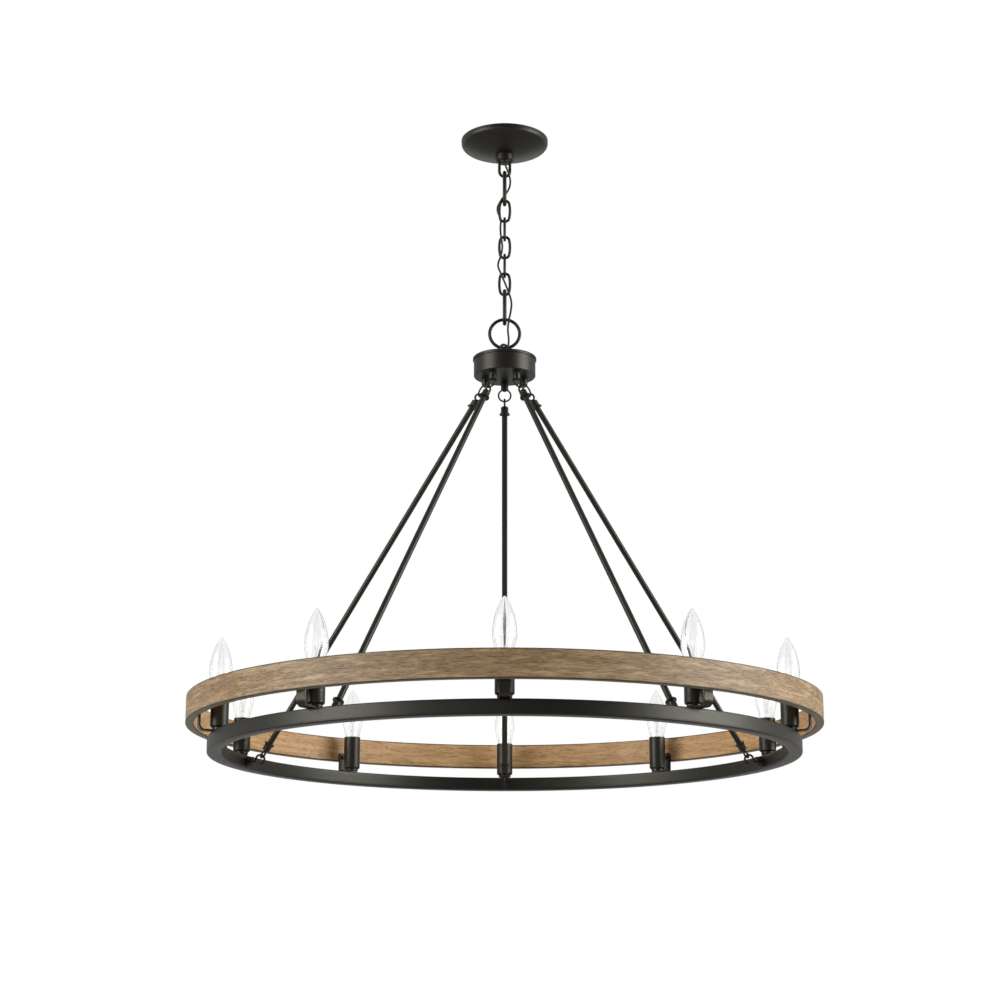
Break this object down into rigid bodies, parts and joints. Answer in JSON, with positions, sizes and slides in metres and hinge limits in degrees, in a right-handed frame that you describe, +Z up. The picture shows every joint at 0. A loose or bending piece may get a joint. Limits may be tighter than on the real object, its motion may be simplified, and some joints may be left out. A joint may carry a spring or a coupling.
{
  "type": "wagon wheel chandelier",
  "caption": "Ceiling chandelier on a lamp chain: rods carry an iron hoop with candle lights inside a bent wood hoop.",
  "frame": {"origin": "on the ceiling plane, on the centre line of the chain, midway between the two slots of the crossbar", "axes": "+Z up into the ceiling; +X along the crossbar and to the right when seen from -Y"},
  "size_m": [0.914, 0.914, 0.9665],
  "materials": {
    "black_iron": "satin",
    "zinc_steel": "satin",
    "green_screw": "gloss",
    "weathered_wood": "matte",
    "cord_fabric": "matte",
    "connector_plastic": "matte",
    "socket_plastic": "matte",
    "wire_sleeve": "matte",
    "clear_glass": "gloss",
    "lamp_brass": "satin"
  },
  "bodies": {
    "ceiling_fixing": {"crossbar": "zinc_steel", "ground_screw": "green_screw", "mounting_nipple": "zinc_steel", "nipple_nuts": "zinc_steel", "canopy_loop": "black_iron", "lamp_cord": "cord_fabric"},
    "canopy": {"canopy": "black_iron", "collar_ring": "black_iron"},
    "link_1": {"chain_link_1": "black_iron"},
    "link_2": {"chain_link_2": "black_iron"},
    "link_3": {"chain_link_3": "black_iron"},
    "link_4": {"chain_link_4": "black_iron"},
    "link_5": {"chain_link_5": "black_iron"},
    "link_6": {"chain_link_6": "black_iron"},
    "link_7": {"chain_link_7": "black_iron"},
    "ring": {"hanging_ring": "black_iron"},
    "hub": {"hub_loop": "black_iron", "hub_lid": "black_iron", "hub_body": "black_iron", "hub_bridge": "zinc_steel", "hub_studs": "black_iron", "hub_nuts": "zinc_steel", "hub_rings": "black_iron", "hub_wire_nuts": "connector_plastic"},
    "rod_1": {"rod_1": "black_iron"},
    "rod_2": {"rod_2": "black_iron"},
    "rod_3": {"rod_3": "black_iron"},
    "rod_4": {"rod_4": "black_iron"},
    "rod_5": {"rod_5": "black_iron"},
    "wheel": {"wood_hoop": "weathered_wood", "metal_hoop": "black_iron", "hook_bosses": "black_iron", "hooks": "black_iron", "candle_brackets": "black_iron", "bracket_screws": "black_iron", "candle_necks": "black_iron", "candle_sleeves": "black_iron", "sockets": "socket_plastic", "socket_nipples": "zinc_steel", "wiring_harness": "wire_sleeve"},
    "bulb_01": {"bulb_glass_01": "clear_glass", "bulb_base_01": "lamp_brass"},
    "bulb_02": {"bulb_glass_02": "clear_glass", "bulb_base_02": "lamp_brass"},
    "bulb_03": {"bulb_glass_03": "clear_glass", "bulb_base_03": "lamp_brass"},
    "bulb_04": {"bulb_glass_04": "clear_glass", "bulb_base_04": "lamp_brass"},
    "bulb_05": {"bulb_glass_05": "clear_glass", "bulb_base_05": "lamp_brass"},
    "bulb_06": {"bulb_glass_06": "clear_glass", "bulb_base_06": "lamp_brass"},
    "bulb_07": {"bulb_glass_07": "clear_glass", "bulb_base_07": "lamp_brass"},
    "bulb_08": {"bulb_glass_08": "clear_glass", "bulb_base_08": "lamp_brass"},
    "bulb_09": {"bulb_glass_09": "clear_glass", "bulb_base_09": "lamp_brass"},
    "bulb_10": {"bulb_glass_10": "clear_glass", "bulb_base_10": "lamp_brass"}
  },
  "joints": [
    {"name": "canopy_slide", "type": "slide", "parent": "ceiling_fixing", "child": "canopy", "axis": [0, 0, 1], "range_m": [-0.018, 0]},
    {"name": "link_1_swing", "type": "hinge", "parent": "ceiling_fixing", "child": "link_1", "pos_m": [0, 0, -0.05915], "axis": [1, 0, 0], "range_deg": [-14, 14], "deforming": ["lamp_cord"]},
    {"name": "link_2_swing", "type": "hinge", "parent": "link_1", "child": "link_2", "pos_m": [0, 0, -0.1046], "axis": [0, 1, 0], "range_deg": [-14, 14], "deforming": ["lamp_cord"]},
    {"name": "link_3_swing", "type": "hinge", "parent": "link_2", "child": "link_3", "pos_m": [0, 0, -0.1335], "axis": [1, 0, 0], "range_deg": [-14, 14], "deforming": ["lamp_cord"]},
    {"name": "link_4_swing", "type": "hinge", "parent": "link_3", "child": "link_4", "pos_m": [0, 0, -0.1633], "axis": [0, 1, 0], "range_deg": [-14, 14], "deforming": ["lamp_cord"]},
    {"name": "link_5_swing", "type": "hinge", "parent": "link_4", "child": "link_5", "pos_m": [0, 0, -0.1931], "axis": [1, 0, 0], "range_deg": [-14, 14], "deforming": ["lamp_cord"]},
    {"name": "link_6_swing", "type": "hinge", "parent": "link_5", "child": "link_6", "pos_m": [0, 0, -0.2229], "axis": [0, 1, 0], "range_deg": [-14, 14], "deforming": ["lamp_cord"]},
    {"name": "link_7_swing", "type": "hinge", "parent": "link_6", "child": "link_7", "pos_m": [0, 0, -0.2527], "axis": [1, 0, 0], "range_deg": [-14, 14], "deforming": ["lamp_cord"]},
    {"name": "ring_swing", "type": "hinge", "parent": "link_7", "child": "ring", "pos_m": [0, 0, -0.2983], "axis": [0, 1, 0], "range_deg": [-14, 14], "deforming": ["lamp_cord"]},
    {"name": "hub_swing", "type": "hinge", "parent": "ring", "child": "hub", "pos_m": [0, 0, -0.3379], "axis": [1, 0, 0], "range_deg": [-14, 14], "deforming": ["lamp_cord"]},
    {"name": "wheel_twist", "type": "hinge", "parent": "hub", "child": "wheel", "pos_m": [0, 0, -0.6], "axis": [0, 0, 1], "range_deg": [-8, 8]},
    {"name": "rod_1_turn", "type": "hinge", "parent": "hub", "child": "rod_1", "pos_m": [0, 0.04051, -0.40999], "axis": [0, 0, 1], "range_deg": [-9, 9]},
    {"name": "rod_2_turn", "type": "hinge", "parent": "hub", "child": "rod_2", "pos_m": [-0.03853, 0.01252, -0.40999], "axis": [0, 0, 1], "range_deg": [-9, 9]},
    {"name": "rod_3_turn", "type": "hinge", "parent": "hub", "child": "rod_3", "pos_m": [-0.02381, -0.03277, -0.40999], "axis": [0, 0, 1], "range_deg": [-9, 9]},
    {"name": "rod_4_turn", "type": "hinge", "parent": "hub", "child": "rod_4", "pos_m": [0.02381, -0.03277, -0.40999], "axis": [0, 0, 1], "range_deg": [-9, 9]},
    {"name": "rod_5_turn", "type": "hinge", "parent": "hub", "child": "rod_5", "pos_m": [0.03853, 0.01252, -0.40999], "axis": [0, 0, 1], "range_deg": [-9, 9]},
    {"name": "bulb_01_screw", "type": "hinge", "parent": "wheel", "child": "bulb_01", "pos_m": [0, 0.4158, -0.895], "axis": [0, 0, 1], "continuous": true},
    {"name": "bulb_02_screw", "type": "hinge", "parent": "wheel", "child": "bulb_02", "pos_m": [-0.2444, 0.33639, -0.895], "axis": [0, 0, 1], "continuous": true},
    {"name": "bulb_03_screw", "type": "hinge", "parent": "wheel", "child": "bulb_03", "pos_m": [-0.39545, 0.12849, -0.895], "axis": [0, 0, 1], "continuous": true},
    {"name": "bulb_04_screw", "type": "hinge", "parent": "wheel", "child": "bulb_04", "pos_m": [-0.39545, -0.12849, -0.895], "axis": [0, 0, 1], "continuous": true},
    {"name": "bulb_05_screw", "type": "hinge", "parent": "wheel", "child": "bulb_05", "pos_m": [-0.2444, -0.33639, -0.895], "axis": [0, 0, 1], "continuous": true},
    {"name": "bulb_06_screw", "type": "hinge", "parent": "wheel", "child": "bulb_06", "pos_m": [0, -0.4158, -0.895], "axis": [0, 0, 1], "continuous": true},
    {"name": "bulb_07_screw", "type": "hinge", "parent": "wheel", "child": "bulb_07", "pos_m": [0.2444, -0.33639, -0.895], "axis": [0, 0, 1], "continuous": true},
    {"name": "bulb_08_screw", "type": "hinge", "parent": "wheel", "child": "bulb_08", "pos_m": [0.39545, -0.12849, -0.895], "axis": [0, 0, 1], "continuous": true},
    {"name": "bulb_09_screw", "type": "hinge", "parent": "wheel", "child": "bulb_09", "pos_m": [0.39545, 0.12849, -0.895], "axis": [0, 0, 1], "continuous": true},
    {"name": "bulb_10_screw", "type": "hinge", "parent": "wheel", "child": "bulb_10", "pos_m": [0.2444, 0.33639, -0.895], "axis": [0, 0, 1], "continuous": true}
  ],
  "couplings": [
    {"joint": "rod_1_turn", "follows": "wheel_twist", "ratio": 1.119},
    {"joint": "rod_2_turn", "follows": "wheel_twist", "ratio": 1.119},
    {"joint": "rod_3_turn", "follows": "wheel_twist", "ratio": 1.119},
    {"joint": "rod_4_turn", "follows": "wheel_twist", "ratio": 1.119},
    {"joint": "rod_5_turn", "follows": "wheel_twist", "ratio": 1.119}
  ]
}
